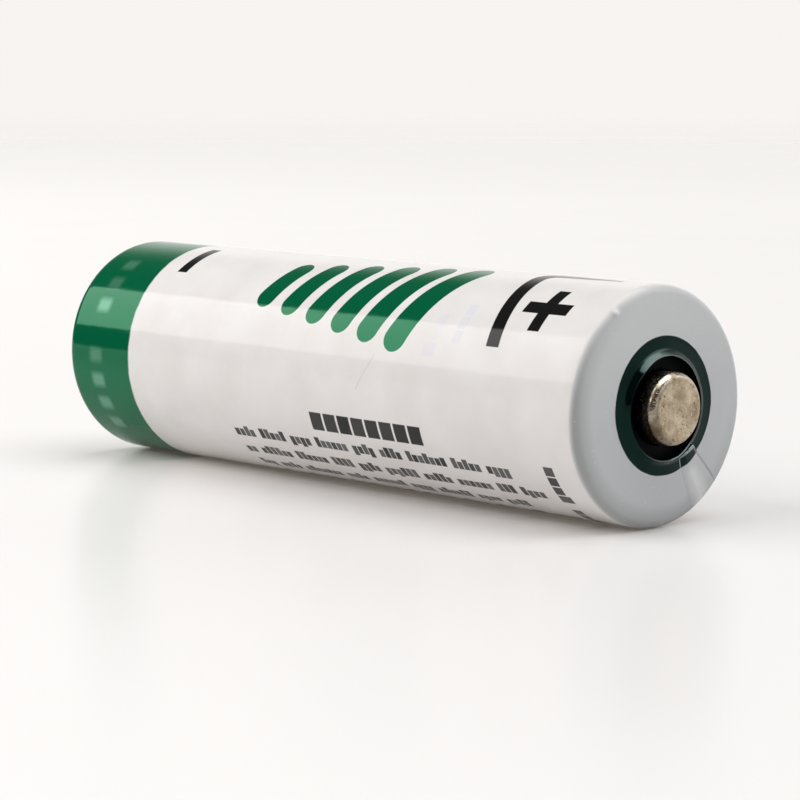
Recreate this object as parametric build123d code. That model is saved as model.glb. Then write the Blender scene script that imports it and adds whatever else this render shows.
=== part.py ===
from build123d import *
import os
from math import cos, radians, sin, sqrt

# AA-size cylindrical lithium cell with a bobbin electrode stack, all sizes in millimetres.
#
# The cell lies on its side. X is its axis, running from the negative contact face at x = 0 to the
# face of the positive terminal, and Z is up. A steel can, which is the negative pole, holds a
# lithium foil against its wall, a glass-fibre separator and a bored carbon cathode round a nickel
# mesh collector. A steel cover closes the can. A glass bead in the cover carries the filling tube,
# which is the positive lead, and a button terminal is welded to the tube's outer end. A printed
# shrink film covers the can and folds over both ends. Each function builds one piece.

# Overall sizes
cell_diameter = 14.5  # over the shrink film
cell_length = 50.3  # contact face to contact face
terminal_rise = 1.4  # terminal's face beyond the film's end face

# Shrink film
film_wall = 0.1
film_shoulder = 0.6  # outer radius of the fold at the positive end
film_window_radius = 3.15  # cut edge of the film round the terminal
film_flare_start = 4.15  # radius where the free lip starts to lift
film_flare = 0.25  # how far the lip's edge lifts
film_base_window_radius = 5.2  # cut edge of the film at the negative end

# Can
can_wall = 0.35
can_base = 0.5
can_corner = 0.8  # outer radius of the drawn corner
contact_radius = 4.6  # raised negative contact
contact_rise = 0.25
contact_slope = 0.15  # radial run of the step round the contact
vent_radius = 3.4  # coined vent line in the base
vent_width = 0.3
vent_depth = 0.15
vent_sweep = 300.0  # degrees

# Cover and glass seal
cover_depth = 1.1  # can mouth down to the cover's web
cover_web = 0.6
cover_flange = 0.4
collar_wall = 0.8  # thick collar that grips the glass
collar_rise = 0.5  # collar above the web
collar_drop = 0.3  # collar below the web
cover_fillet = 0.25
glass_width = 1.0  # tube wall to collar
glass_meniscus = 0.1
glass_inset = 0.15  # glass edge below each end of the collar

# Filling tube and what closes it
tube_radius = 0.9
tube_bore = 0.5
tube_drop = 2.0  # tube below the cover's collar
ball_setback = 1.9  # ball's centre below the tube's end
plug_length = 0.9

# Positive terminal and the washer under it
terminal_radius = 2.2
terminal_wall = 0.4
terminal_edge = 0.35
washer_thickness = film_shoulder - film_wall
washer_tube_gap = 0.25
washer_seat_depth = 0.2
washer_seat_gap = 0.05

# Electrodes and separators
anode_thickness = 0.8
anode_gap_angle = 8.0  # degrees left open where the foil's ends face each other
anode_head = 0.25  # anode above the cathode
separator_wall = 0.2
separator_lap_gap = 0.02  # between the two layers of the lap
separator_lap_angle = 54.0  # degrees of lap
separator_head = 2.0  # separator above the cathode
separator_disc = 0.4
roll_gap = 0.05  # anode to separator
cathode_gap = 0.02  # cathode to separator
collector_radius = 1.65
collector_wall = 0.15
collector_gap = 0.05  # collector to the cathode's bore
collector_foot = 0.5  # collector's end above the cathode's end
collector_proud = 1.2  # collector above the cathode
mesh_pitch = 2.0  # from row to row of slots
mesh_columns = 3  # slots cut across the tube in each row
mesh_slot_length = 1.5
mesh_slot_width = 0.7
top_disc_gap = 0.2  # top separator's hole round the collector
disc_edge_gap = 0.05

# Connecting tab and top insulator
tab_reach = 1.15  # collector's end to the tube's end
tab_width = 0.9
tab_thickness = 0.15
tab_overlap = 1.2  # tab lying on the tube, and on the collector
tab_weld_gap = 0.01
insulator_thickness = 0.5
insulator_gap = 0.05

# Places and radii worked out from the sizes above
cell_radius = cell_diameter / 2
can_radius = cell_radius - film_wall
can_bore = can_radius - can_wall
film_face_x = cell_length - terminal_rise
mouth_x = film_face_x - film_shoulder
rim_x = contact_rise
floor_x = rim_x + can_base
web_top_x = mouth_x - cover_depth
web_bottom_x = web_top_x - cover_web
collar_top_x = web_top_x + collar_rise
collar_bottom_x = web_bottom_x - collar_drop
glass_radius = tube_radius + glass_width
collar_radius = glass_radius + collar_wall
washer_top_x = mouth_x + washer_thickness
seat_x = washer_top_x - washer_seat_depth
tube_top_x = cell_length - terminal_wall
tube_bottom_x = collar_bottom_x - tube_drop
anode_bore = can_bore - anode_thickness
lap_pitch = separator_wall + separator_lap_gap
separator_bore = anode_bore - roll_gap - separator_wall - lap_pitch
cathode_radius = separator_bore - cathode_gap
cathode_x = floor_x + separator_disc
collector_top_x = tube_bottom_x - tab_reach
cathode_top_x = collector_top_x - collector_proud


def turned(*edges):
    """Solid of revolution about X from a closed outline of edges, with x along and y as radius."""
    return revolve(make_face(Curve() + list(edges)), Axis.X)


def ring(x0, x1, inner, outer):
    """Plain tube, or disc where inner is 0, between two stations on the axis."""
    outline = Polyline((x0, inner), (x1, inner), (x1, outer), (x0, outer), close=True)
    return turned(outline)


def quarter(centre_x, centre_r, radius, start, sweep):
    """Arc of an outline about a centre, start and sweep in degrees."""
    return CenterArc((centre_x, centre_r), radius, start, sweep)


def shrink_sleeve():
    """Film tube: side wall, a fold over each end and a lip that lifts round the terminal."""
    base_r = cell_radius - can_corner - film_wall
    base_x = rim_x + can_corner
    face_r = cell_radius - film_shoulder
    face_in = film_face_x - film_wall
    lip_x = film_face_x + film_flare
    outline = [
        Line((rim_x - film_wall, film_base_window_radius), (rim_x - film_wall, base_r)),
        quarter(base_x, base_r, can_corner + film_wall, 180, -90),
        Line((base_x, cell_radius), (mouth_x, cell_radius)),
        quarter(mouth_x, face_r, film_shoulder, 90, -90),
        Polyline(
            (film_face_x, face_r),
            (film_face_x, film_flare_start),
            (lip_x, film_window_radius),
            (lip_x - film_wall, film_window_radius),
            (face_in, film_flare_start),
            (face_in, face_r),
        ),
        quarter(mouth_x, face_r, film_shoulder - film_wall, 0, 90),
        Line((mouth_x, can_radius), (base_x, can_radius)),
        quarter(base_x, base_r, can_corner, 90, 90),
        Polyline(
            (rim_x, base_r),
            (rim_x, film_base_window_radius),
            (rim_x - film_wall, film_base_window_radius),
        ),
    ]
    return turned(*outline)


def can():
    """Drawn steel cup with a raised contact and a coined vent line in its base."""
    corner_in = can_corner - can_wall
    base_r = can_radius - can_corner
    floor_r = can_bore - corner_in
    pocket_r = contact_radius + contact_slope - can_wall
    outline = [
        Polyline(
            (0, 0),
            (0, contact_radius),
            (rim_x, contact_radius + contact_slope),
            (rim_x, base_r),
        ),
        quarter(rim_x + can_corner, base_r, can_corner, 180, -90),
        Polyline(
            (rim_x + can_corner, can_radius),
            (mouth_x, can_radius),
            (mouth_x, can_bore),
            (floor_x + corner_in, can_bore),
        ),
        quarter(floor_x + corner_in, floor_r, corner_in, 90, 90),
        Polyline(
            (floor_x, floor_r),
            (floor_x, pocket_r),
            (floor_x - contact_rise, pocket_r - contact_slope),
            (floor_x - contact_rise, 0),
            (0, 0),
        ),
    ]
    groove = Polyline(
        (-vent_depth, vent_radius - vent_width),
        (vent_depth, vent_radius),
        (-vent_depth, vent_radius + vent_width),
        close=True,
    )
    return turned(*outline) - revolve(make_face(groove), Axis.X, vent_sweep)


def cover():
    """Dished steel cover: flange against the can's bore, flat web and the collar for the glass."""
    flange_r = can_bore - cover_flange
    body = ring(web_bottom_x, mouth_x, glass_radius, can_bore)
    body -= ring(web_top_x, mouth_x, collar_radius, flange_r)
    body -= ring(collar_top_x, mouth_x, glass_radius, collar_radius)
    body += ring(collar_bottom_x, web_bottom_x, glass_radius, collar_radius)
    roots = [
        edge
        for edge in body.edges().filter_by(GeomType.CIRCLE)
        if abs(edge.center().X - web_top_x) < 1e-6 and collar_radius - 1e-6 < edge.radius < can_bore - 1e-6
    ]
    return fillet(roots, cover_fillet)


def glass_seal():
    """Glass bead fused between the collar and the filling tube, with a sunk meniscus each side."""
    top = collar_top_x - glass_inset
    bottom = collar_bottom_x + glass_inset
    mid_r = (tube_radius + glass_radius) / 2
    return turned(
        ThreePointArc((top, tube_radius), (top - glass_meniscus, mid_r), (top, glass_radius)),
        Line((top, glass_radius), (bottom, glass_radius)),
        ThreePointArc((bottom, glass_radius), (bottom + glass_meniscus, mid_r), (bottom, tube_radius)),
        Line((bottom, tube_radius), (top, tube_radius)),
    )


def feedthrough_tube():
    """Filling tube through the glass, the cell's positive lead."""
    return ring(tube_bottom_x, tube_top_x, tube_bore, tube_radius)


def sealing_ball():
    """Steel ball pressed into the filling tube after the electrolyte goes in."""
    return Pos(tube_top_x - ball_setback, 0, 0) * Sphere(tube_bore)


def closing_plug():
    """Pin welded into the tube's outer end over the ball."""
    return ring(tube_top_x - plug_length, tube_top_x, 0, tube_bore)


def insulating_washer():
    """Moulded washer on the can's mouth, with a seat that keeps the terminal off the cover."""
    body = ring(mouth_x, washer_top_x, tube_radius + washer_tube_gap, cell_radius - film_shoulder)
    return body - ring(seat_x, washer_top_x, 0, terminal_radius + washer_seat_gap)


def positive_cap():
    """Button terminal: a nickel-plated cup, its face welded to the tube and its rim on the washer."""
    skirt = terminal_radius - terminal_wall
    body = ring(seat_x, cell_length, 0, terminal_radius) - ring(seat_x, tube_top_x, 0, skirt)
    face_edge = [
        edge
        for edge in body.edges().filter_by(GeomType.CIRCLE)
        if abs(edge.center().X - cell_length) < 1e-6
    ]
    return fillet(face_edge, terminal_edge)


def lithium_anode():
    """Lithium foil rolled against the can's bore, its two ends a little apart at the back."""
    start = floor_x + can_corner - can_wall
    body = ring(start, cathode_top_x + anode_head, anode_bore, can_bore)
    reach = 2 * can_bore
    across = reach * sin(radians(anode_gap_angle / 2))
    along = reach * cos(radians(anode_gap_angle / 2))
    gap = Polyline((0, 0), (along, across), (along, -across), close=True)
    return body - Plane.YZ * extrude(make_face(gap), cell_length)


def separator_wrap():
    """Glass-fibre sheet rolled into a tube with a lap, from arcs whose radius grows by half a pitch."""
    half_turns = [
        (0, separator_bore, 0, 180),
        (lap_pitch / 2, separator_bore + lap_pitch / 2, 180, 180),
        (0, separator_bore + lap_pitch, 360, separator_lap_angle),
    ]
    inner = [CenterArc((shift, 0), radius, start, sweep) for shift, radius, start, sweep in half_turns]
    outer = [
        CenterArc((shift, 0), radius + separator_wall, start, sweep)
        for shift, radius, start, sweep in half_turns
    ]
    ends = [Line(inner[0] @ 0, outer[0] @ 0), Line(inner[-1] @ 1, outer[-1] @ 1)]
    strip = make_face(Curve() + inner + outer + ends)
    height = cathode_top_x + separator_head - floor_x
    return Pos(floor_x, 0, 0) * (Plane.YZ * extrude(strip, height))


def separator_base():
    """Glass-fibre disc between the can's floor and the cathode."""
    return ring(floor_x, cathode_x, 0, separator_bore - disc_edge_gap)


def separator_top():
    """Glass-fibre disc on the cathode, with a hole for the collector."""
    hole = collector_radius + top_disc_gap
    return ring(cathode_top_x, cathode_top_x + separator_disc, hole, separator_bore - disc_edge_gap)


def carbon_cathode():
    """Porous carbon bobbin with a bore for the collector and the electrolyte."""
    return ring(cathode_x, cathode_top_x, collector_radius + collector_gap, cathode_radius)


def current_collector():
    """Nickel mesh tube: staggered diamond slots cut straight across it in rows."""
    start = cathode_x + collector_foot
    tube = ring(start, collector_top_x, collector_radius - collector_wall, collector_radius)
    rows = int((cathode_top_x - start) / mesh_pitch)
    half_length = mesh_slot_length / 2
    half_width = mesh_slot_width / 2
    diamond = make_face(
        Polyline((-half_length, 0), (0, half_width), (half_length, 0), (0, -half_width), close=True)
    )
    slot = extrude(diamond, collector_radius + collector_wall, both=True)
    step = 180 / mesh_columns
    slots = [
        Pos(start + (row + 0.5) * mesh_pitch, 0, 0) * Rot(X=(column + row % 2 / 2) * step) * slot
        for row in range(rows)
        for column in range(mesh_columns)
    ]
    return tube - slots


def collector_tab():
    """Nickel strip that joins the collector's bore to the side of the filling tube."""
    bore = collector_radius - collector_wall
    high = sqrt(bore**2 - (tab_width / 2) ** 2) - tab_weld_gap
    low = tube_radius + tab_weld_gap + tab_thickness
    line = [
        (collector_top_x - tab_overlap, high),
        (collector_top_x, high),
        (tube_bottom_x, low),
        (tube_bottom_x + tab_overlap, low),
    ]
    under = [(x, y - tab_thickness) for x, y in reversed(line)]
    strip = make_face(Polyline(*line, *under, close=True))
    return extrude(strip, tab_width / 2, both=True)


def top_insulator():
    """Polymer disc on the tube under the cover, which keeps the stack off the cover."""
    hole = tube_radius + insulator_gap
    return ring(collar_bottom_x - insulator_thickness, collar_bottom_x, hole, can_bore - insulator_gap)


pieces = [
    shrink_sleeve, can, cover, glass_seal, feedthrough_tube, sealing_ball, closing_plug,
    insulating_washer, positive_cap, lithium_anode, separator_wrap, separator_base, separator_top,
    carbon_cathode, current_collector, collector_tab, top_insulator,
]
os.makedirs("parts", exist_ok=True)
for piece in pieces:
    export_step(piece(), f"parts/{piece.__name__}.step")
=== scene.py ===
import logging
import math
from dataclasses import dataclass, field
from enum import Enum
from typing import Any, Callable, Optional, Sequence, Union

import bpy
import numpy as np
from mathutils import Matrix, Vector


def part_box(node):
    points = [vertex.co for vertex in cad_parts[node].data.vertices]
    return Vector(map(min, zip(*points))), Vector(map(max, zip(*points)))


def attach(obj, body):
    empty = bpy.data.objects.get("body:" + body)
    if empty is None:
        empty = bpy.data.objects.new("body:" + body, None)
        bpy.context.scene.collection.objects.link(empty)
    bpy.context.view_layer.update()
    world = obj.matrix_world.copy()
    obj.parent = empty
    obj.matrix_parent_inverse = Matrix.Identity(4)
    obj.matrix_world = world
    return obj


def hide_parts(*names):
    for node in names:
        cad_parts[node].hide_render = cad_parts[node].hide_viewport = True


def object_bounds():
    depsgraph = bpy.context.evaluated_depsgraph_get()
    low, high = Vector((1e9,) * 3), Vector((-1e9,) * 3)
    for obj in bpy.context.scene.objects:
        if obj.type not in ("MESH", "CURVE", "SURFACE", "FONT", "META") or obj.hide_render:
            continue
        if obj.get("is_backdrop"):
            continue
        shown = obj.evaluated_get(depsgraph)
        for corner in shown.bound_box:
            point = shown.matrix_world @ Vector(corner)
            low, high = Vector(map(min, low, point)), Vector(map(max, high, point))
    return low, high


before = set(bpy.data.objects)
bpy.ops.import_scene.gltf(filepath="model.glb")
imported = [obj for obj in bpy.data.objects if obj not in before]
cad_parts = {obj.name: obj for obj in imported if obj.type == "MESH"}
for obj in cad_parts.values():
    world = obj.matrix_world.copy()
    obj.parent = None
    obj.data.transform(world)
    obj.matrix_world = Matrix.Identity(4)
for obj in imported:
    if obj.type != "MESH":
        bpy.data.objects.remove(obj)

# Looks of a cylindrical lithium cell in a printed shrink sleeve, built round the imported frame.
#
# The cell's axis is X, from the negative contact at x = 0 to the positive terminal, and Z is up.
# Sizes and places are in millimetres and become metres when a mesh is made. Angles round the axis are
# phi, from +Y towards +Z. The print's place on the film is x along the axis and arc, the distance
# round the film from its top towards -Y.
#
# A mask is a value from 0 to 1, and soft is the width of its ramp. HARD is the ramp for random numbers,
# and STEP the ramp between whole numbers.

MM = 0.001
ROOT = "root"
HARD = 0.002
STEP = 0.02
log = logging.getLogger("cell")

Relief = Callable[[np.ndarray, np.ndarray, np.ndarray], tuple[np.ndarray, np.ndarray]]
Socket = bpy.types.NodeSocket
Triple = tuple[float, float, float]
Colour = Triple


def tone(red: int, green: int, blue: int) -> Colour:
    """Returns a screen colour, 0 to 255 a channel, as linear light."""
    share = np.array([red, green, blue]) / 255
    linear = np.where(share <= 0.04045, share / 12.92, ((share + 0.055) / 1.055) ** 2.4)
    return tuple(float(channel) for channel in linear)


# ---------------------------------------------------------------- shader maths


class Value:
    """One number in a shader. Arithmetic on it adds Math nodes."""

    def __init__(self, tree: bpy.types.NodeTree, socket: Socket) -> None:
        """Keeps the tree and the output socket that carries the number."""
        self.tree = tree
        self.socket = socket

    def math(self, operation: str, *others: Union["Value", float], clamp: bool = False) -> "Value":
        """Adds a Math node.

        Args:
            operation: the node's operation.
            others: what goes in after this value.
            clamp: whether the result is held between 0 and 1.

        Returns:
            The node's result.
        """
        return arithmetic(self.tree, operation, (self, *others), clamp)

    def __add__(self, other: Union["Value", float]) -> "Value":
        """Returns the sum."""
        return self.math("ADD", other)

    __radd__ = __add__

    def __mul__(self, other: Union["Value", float]) -> "Value":
        """Returns the product."""
        return self.math("MULTIPLY", other)

    __rmul__ = __mul__

    def __sub__(self, other: Union["Value", float]) -> "Value":
        """Returns this value less the other."""
        return self.math("SUBTRACT", other)

    def __rsub__(self, other: float) -> "Value":
        """Returns the other less this value."""
        return arithmetic(self.tree, "SUBTRACT", (other, self), False)

    def __truediv__(self, other: Union["Value", float]) -> "Value":
        """Returns this value over the other."""
        return self.math("DIVIDE", other)

    def __abs__(self) -> "Value":
        """Returns the size of this value without its sign."""
        return self.math("ABSOLUTE")

    def clamped(self) -> "Value":
        """Returns this value held between 0 and 1."""
        return self.math("ADD", 0.0, clamp=True)

    def below(self, edge: Union["Value", float], soft: float) -> "Value":
        """Returns 1 where this value is under the edge and 0 over it, with a ramp soft wide."""
        return ((edge - self) / soft + 0.5).clamped()

    def above(self, edge: Union["Value", float], soft: float) -> "Value":
        """Returns 1 where this value is over the edge and 0 under it, with a ramp soft wide."""
        return ((self - edge) / soft + 0.5).clamped()

    def either(self, other: "Value") -> "Value":
        """Returns the larger of two masks."""
        return self.math("MAXIMUM", other)


def arithmetic(
    tree: bpy.types.NodeTree, operation: str, terms: Sequence[Union[Value, float]], clamp: bool
) -> Value:
    """Adds one Math node.

    Args:
        tree: the shader's node tree.
        operation: the node's operation.
        terms: its values or links, in order.
        clamp: whether the result is held between 0 and 1.

    Returns:
        The node's result.
    """
    made = tree.nodes.new("ShaderNodeMath")
    made.operation = operation
    made.use_clamp = clamp
    for socket, term in zip(made.inputs, terms):
        if isinstance(term, Value):
            tree.links.new(term.socket, socket)
        else:
            socket.default_value = term
    return Value(tree, made.outputs[0])


def feed(tree: bpy.types.NodeTree, socket: Socket, value: Any) -> None:
    """Links a value or an output to an input, or sets a constant on it."""
    if isinstance(value, Value):
        tree.links.new(value.socket, socket)
    elif isinstance(value, Socket):
        tree.links.new(value, socket)
    elif isinstance(value, tuple) and socket.type == "RGBA" and len(value) == 3:
        socket.default_value = (*value, 1)
    else:
        socket.default_value = value


def add_node(
    tree: bpy.types.NodeTree, kind: str, settings: Optional[dict] = None, inputs: Optional[dict] = None
) -> bpy.types.ShaderNode:
    """Adds any node.

    Args:
        tree: the node tree.
        kind: the node's type.
        settings: its properties, set first.
        inputs: values or links of its sockets, by name or number.

    Returns:
        The node.
    """
    made = tree.nodes.new(kind)
    for key, value in (settings or {}).items():
        setattr(made, key, value)
    for key, value in (inputs or {}).items():
        feed(tree, made.inputs[key], value)
    return made


class Finish:
    """A material in the making: one Principled shader and the nodes that feed it."""

    def __init__(self, name: str, **constants: Any) -> None:
        """Starts a material.

        Args:
            name: the material's name.
            constants: what is the same all over, by socket name with _ for each space.
        """
        self.material = bpy.data.materials.new(name)
        self.material.use_nodes = True
        self.tree = self.material.node_tree
        self.shader = self.tree.nodes["Principled BSDF"]
        for key, value in constants.items():
            self.shader.inputs[key.replace("_", " ")].default_value = value
        place = self.node("ShaderNodeTexCoord").outputs["Object"]
        in_mm = self.node("ShaderNodeVectorMath", {"operation": "SCALE"}, {0: place, "Scale": 1 / MM})
        self.place = in_mm.outputs[0]
        split = self.node("ShaderNodeSeparateXYZ", {}, {0: self.place})
        self.x, self.y, self.z = (Value(self.tree, socket) for socket in split.outputs)

    def node(
        self, kind: str, settings: Optional[dict] = None, inputs: Optional[dict] = None
    ) -> bpy.types.ShaderNode:
        """Adds any node to the material, as add_node does."""
        return add_node(self.tree, kind, settings, inputs)

    def noise(
        self, scale: float, detail: float = 3, stretch: Triple = (1, 1, 1), rough: float = 0.5
    ) -> Value:
        """Returns soft noise.

        Args:
            scale: features per millimetre.
            detail: octaves.
            stretch: how much finer the noise is along each axis.
            rough: how strong the fine octaves are.

        Returns:
            A value round 0.5.
        """
        spread = self.node("ShaderNodeMapping", {}, {"Vector": self.place, "Scale": stretch}).outputs[0]
        inputs = {"Vector": spread, "Scale": scale, "Detail": detail, "Roughness": rough}
        return Value(self.tree, self.node("ShaderNodeTexNoise", {}, inputs).outputs["Fac"])

    def cells(self, scale: float) -> Value:
        """Returns the distance to the nearest of scattered points, scale of them to a millimetre."""
        found = self.node("ShaderNodeTexVoronoi", {}, {"Vector": self.place, "Scale": scale})
        return Value(self.tree, found.outputs["Distance"])

    def chance(self, *terms: Union[Value, float]) -> Value:
        """Returns a random number from 0 to 1 that is fixed for each set of one to three terms."""
        packed = self.node("ShaderNodeCombineXYZ", {}, dict(enumerate(terms))).outputs[0]
        rolled = self.node("ShaderNodeTexWhiteNoise", {"noise_dimensions": "3D"}, {"Vector": packed})
        return Value(self.tree, rolled.outputs["Value"])

    def radius(self) -> Value:
        """Returns the distance from the cell's axis."""
        return (self.y * self.y + self.z * self.z).math("SQRT")

    def blend(self, share: Value, under: Any, over: Any) -> Socket:
        """Returns a colour that goes from under to over as share goes from 0 to 1."""
        mixed = self.node("ShaderNodeMix", {"data_type": "RGBA"}, {0: share, 6: under, 7: over})
        return mixed.outputs[2]

    def relief(self, height: Value, depth: float) -> None:
        """Raises the surface's shading by height, depth millimetres for a height of 1."""
        bump = self.node("ShaderNodeBump", {}, {"Strength": 1.0, "Distance": depth * MM, "Height": height})
        feed(self.tree, self.shader.inputs["Normal"], bump.outputs[0])

    def dress(self, **varying: Any) -> bpy.types.Material:
        """Links what changes over the surface, by socket name, and returns the material."""
        for key, value in varying.items():
            feed(self.tree, self.shader.inputs[key.replace("_", " ")], value)
        return self.material


# ---------------------------------------------------------------- print on the film


class Ink(Enum):
    """Colours of the print, and a painted shade for a crease, as linear light."""

    GREEN = tone(0, 104, 67)
    BLACK = tone(22, 22, 22)
    GREY = tone(30, 30, 30)
    LILAC = tone(214, 214, 230)
    PALE = tone(150, 205, 182)
    CREASE_SHADE = tone(176, 172, 168)


class Lay(Enum):
    """Which way a line of print runs."""

    ALONG = "along the axis"
    AROUND = "round the film"


@dataclass(frozen=True)
class Bar:
    """A straight bar with round or square ends.

    Its distance field is the length of the part of (u, v) outside the bar's core, less its half width,
    where u and v are the place turned into the bar's own directions.
    """

    ink: Ink
    x: float
    arc: float
    length: float
    width: float
    turn: float = 0.0
    round_ends: bool = True

    def mask(self, finish: Finish, x: Value, arc: Value, soft: float) -> Value:
        """Returns 1 inside the bar."""
        cosine = math.cos(math.radians(self.turn))
        sine = math.sin(math.radians(self.turn))
        u = abs((x - self.x) * cosine + (arc - self.arc) * sine)
        v = abs((arc - self.arc) * cosine - (x - self.x) * sine)
        half = self.width / 2
        if not self.round_ends:
            return u.below(self.length / 2, soft) * v.below(half, soft)
        past = (u - (self.length / 2 - half)).math("MAXIMUM", 0.0)
        return (past * past + v * v).math("SQRT").below(half, soft)


@dataclass(frozen=True)
class Bracket:
    """A leaning stroke that turns over a round corner into a tail along the axis.

    With u and v the distances past the corner's centre, to -x and towards the top, and nought short
    of it, the stroke lies where the root of u squared and v squared is within half a width of the
    corner's radius. Its lean moves x in proportion to arc, and the tail thins towards its end.
    """

    ink: Ink
    x: float
    arc: float
    bend: float
    foot: float
    tail: float
    width: float
    lean: float = 0.16

    def mask(self, finish: Finish, x: Value, arc: Value, soft: float) -> Value:
        """Returns 1 inside the stroke."""
        upright = x - (arc - self.arc) * self.lean
        u = (self.x - upright).math("MAXIMUM", 0.0)
        v = (self.arc - arc).math("MAXIMUM", 0.0)
        thin = 1 - ((upright - self.x) / (self.tail - self.x)).clamped() * 0.7
        off = abs((u * u + v * v).math("SQRT") - self.bend)
        inside = (off - thin * (self.width / 2)).below(0.0, soft)
        return inside * arc.below(self.foot, soft) * upright.below(self.tail, soft)


class Draw(Enum):
    """Numbers that keep apart what fine print draws at random from one seed."""

    KEPT = 0.0
    GAP = 1.7
    ENDING = 2.1
    DARK = 3.9
    KIND = 7.3


@dataclass(frozen=True)
class FinePrint:
    """Lines of small solid blocks that stand in for words.

    A line is cut into cells, one block to a cell. Of every `word` cells one near the middle stays
    empty, as the gap between words, and a fixed random number per cell leaves out a further share
    of them. Others make a block taller or deeper than the rest, and set how dark it is. A line ends
    up to `ragged` of its length early. Even lines have blocks of one height, no gaps between words
    and no ragged ends. Heights are shares of the full height, off the middle of the line.
    """

    ink: Ink
    lay: Lay
    start: float
    end: float
    first_row: float
    rows: int
    row_pitch: float
    height: float
    cell: float
    seed: float
    gap_share: float = 0.0
    even: bool = False
    slot: float = 0.06
    faintest: float = 0.85
    blur: float = 1.0
    word: int = 6
    ragged: float = 0.16
    body: tuple[float, float] = (0.32, 0.3)
    taller: float = 0.24
    taller_share: float = 0.3
    deeper: float = 0.2
    deeper_share: float = 0.16

    def mask(self, finish: Finish, x: Value, arc: Value, soft: float) -> Value:
        """Returns how much ink lies at a place, from 0 to 1."""
        soft = soft * self.blur
        run, rise = (x, arc) if self.lay is Lay.ALONG else (arc, x)
        steps = (rise - self.first_row) / self.row_pitch + 0.5
        row = steps.math("FLOOR")
        offset = (steps - row - 0.5) * self.row_pitch
        place = (run - self.start) / self.cell
        cell = place.math("FLOOR")
        span = (self.end - self.start) / self.cell
        kept = finish.chance(cell, row, self.seed + Draw.KEPT.value).above(self.gap_share, HARD)
        kind = finish.chance(cell, row, self.seed + Draw.KIND.value)
        if self.even:
            up, down = self.height / 2, self.height / 2
            count = float(round(span))
        else:
            group = (cell / self.word).math("FLOOR")
            third = (finish.chance(group, row, self.seed + Draw.GAP.value) * 3).math("FLOOR")
            gap = third + (self.word // 2 - 1)
            kept = kept * abs(cell - group * self.word - gap).above(0.5, HARD)
            tall = kind.above(1 - self.taller_share, HARD)
            deep = kind.below(self.deeper_share, HARD)
            up = tall * (self.height * self.taller) + self.height * self.body[0]
            down = deep * (self.height * self.deeper) + self.height * self.body[1]
            early = finish.chance(row, self.seed, Draw.ENDING.value) * (span * self.ragged)
            count = (span - early).math("FLOOR")
        within = abs(place - cell - 0.5).below(0.5 - self.slot, soft / self.cell)
        band = (offset + up).above(0.0, soft) * (offset - down).below(0.0, soft)
        reach = (cell + 0.5).above(0.0, STEP) * (cell + 0.5).below(count, STEP)
        lines = row.above(-0.5, STEP) * row.below(self.rows - 0.5, STEP)
        dark = finish.chance(cell, row, self.seed + Draw.DARK.value) * (1 - self.faintest) + self.faintest
        return kept * within * band * reach * lines * dark


Mark = Union[Bar, Bracket, FinePrint]


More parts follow.
